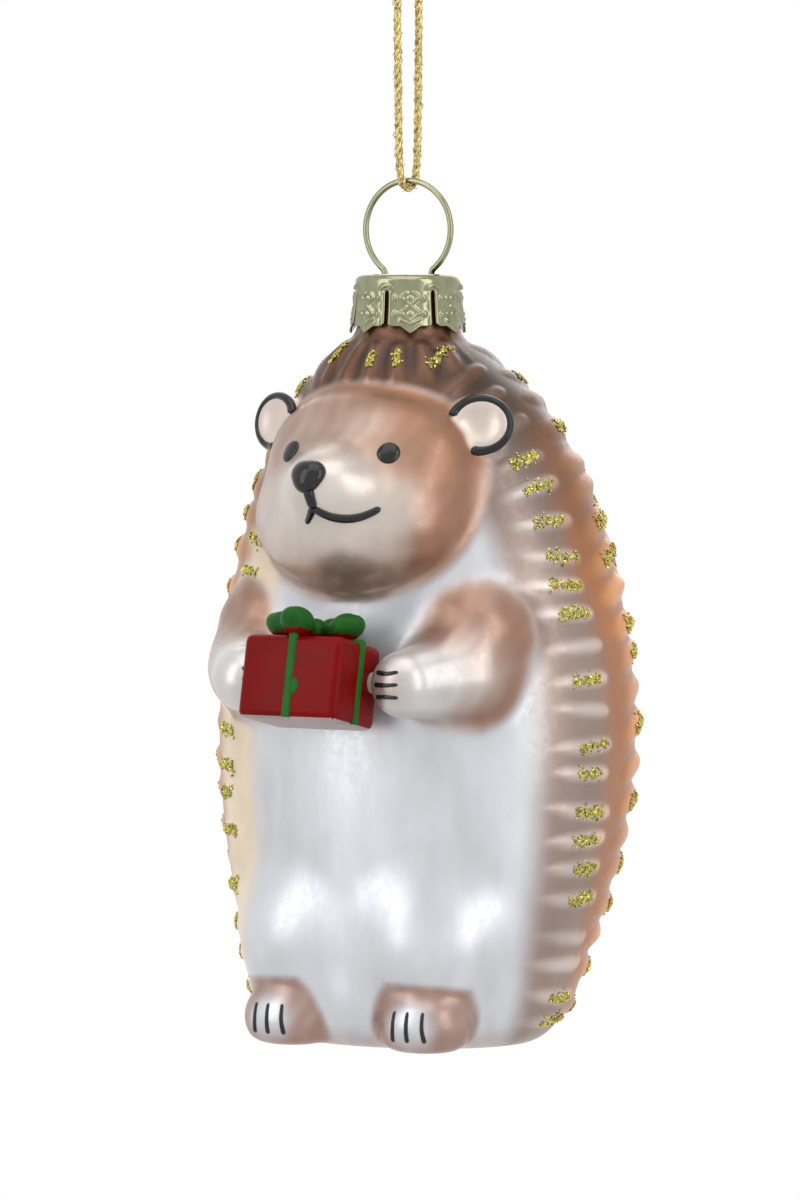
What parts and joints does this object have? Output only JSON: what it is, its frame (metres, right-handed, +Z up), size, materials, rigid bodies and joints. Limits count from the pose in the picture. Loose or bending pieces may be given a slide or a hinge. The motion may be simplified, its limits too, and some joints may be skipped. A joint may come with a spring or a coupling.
{
  "type": "hanging hedgehog ornament",
  "caption": "Hollow blown-glass hedgehog holding a wrapped gift, hung by a crown cap, spring-wire ring and cord loop.",
  "frame": {"origin": "inside top of the cord loop, under its knot, where a hook holds the ornament", "axes": "+Z up along the cord and neck axis, -Y the way the hedgehog faces, +X its left side"},
  "size_m": [0.0554, 0.0556, 0.1516],
  "materials": {
    "pearl_glass": "silvered, pearl lacquer, satin",
    "gift_resin": "painted resin, glossy",
    "clear_glue": "clear, glossy",
    "black_enamel": "glossy enamel",
    "gold_glitter": "metallic glitter",
    "cap_metal": "pale gold plated, embossed",
    "hanger_metal": "pale gold plated spring wire",
    "metallic_cord": "gold metallic thread"
  },
  "bodies": {
    "cord_loop": {"hanging_cord": "metallic_cord", "cord_knot": "metallic_cord"},
    "hanger": {"hanger_wire": "hanger_metal"},
    "cap": {"crown_cap": "cap_metal"},
    "figure": {"glass_body": "pearl_glass", "gift_box": "gift_resin", "gift_glue": "clear_glue", "nose_enamel": "black_enamel", "eye_enamel": "black_enamel", "mouth_enamel": "black_enamel", "ear_enamel": "black_enamel", "claw_enamel": "black_enamel"}
  },
  "joints": [
    {"name": "ring_swing", "type": "hinge", "parent": "cord_loop", "child": "hanger", "pos_m": [0, 0, -0.037], "axis": [1, 0, 0], "range_deg": [-90, 90]},
    {"name": "hanger_pull", "type": "slide", "parent": "hanger", "child": "cap", "axis": [0, 0, -1], "range_m": [0, 0.014]},
    {"name": "cap_turn", "type": "hinge", "parent": "cap", "child": "figure", "pos_m": [0, 0, -0.0525], "axis": [0, 0, 1], "continuous": true}
  ]
}
